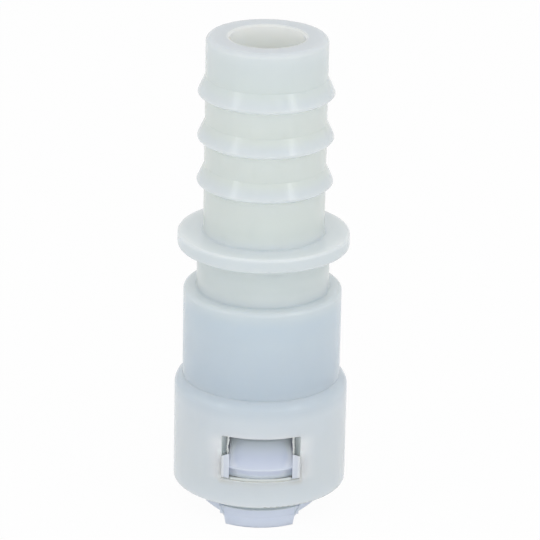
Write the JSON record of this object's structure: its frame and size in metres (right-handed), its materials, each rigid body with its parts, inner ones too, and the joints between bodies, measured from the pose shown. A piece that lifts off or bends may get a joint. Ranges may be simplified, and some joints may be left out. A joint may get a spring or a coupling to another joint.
{
  "type": "barbed quick coupling",
  "caption": "Straight push-on coupling: barbed hose stem with stop collar above, seal housing and windowed cage below, with two squeeze-to-release latches at its mouth.",
  "frame": {"origin": "on the coupling's axis, at the level of the ends of the two release tabs, on which it stands", "axes": "+Z along the axis from the cage's mouth to the end of the hose stem; -Y through the front window and its latch, +Y through the rear ones; +X to the right seen from the front"},
  "size_m": [0.0268, 0.0268, 0.0767],
  "materials": {
    "natural_nylon": "satin, slightly translucent natural nylon",
    "white_acetal": "smooth cool white acetal",
    "seal_rubber": "smooth matt rubber"
  },
  "bodies": {
    "housing": {"fitting_body": "natural_nylon", "inner_seal": "seal_rubber", "seal_spacer": "white_acetal", "outer_seal": "seal_rubber", "seal_bush": "white_acetal", "retainer_frame": "white_acetal"},
    "front_release_latch": {"front_latch": "white_acetal"},
    "rear_release_latch": {"rear_latch": "white_acetal"}
  },
  "joints": [
    {"name": "front_release", "type": "hinge", "parent": "housing", "child": "front_release_latch", "pos_m": [0, -0.01245, 0.0092], "axis": [1, 0, 0], "range_deg": [0, 10], "stiffness_Nm_per_rad": 0.1},
    {"name": "rear_release", "type": "hinge", "parent": "housing", "child": "rear_release_latch", "pos_m": [0, 0.01245, 0.0092], "axis": [-1, 0, 0], "range_deg": [0, 10], "stiffness_Nm_per_rad": 0.1}
  ]
}
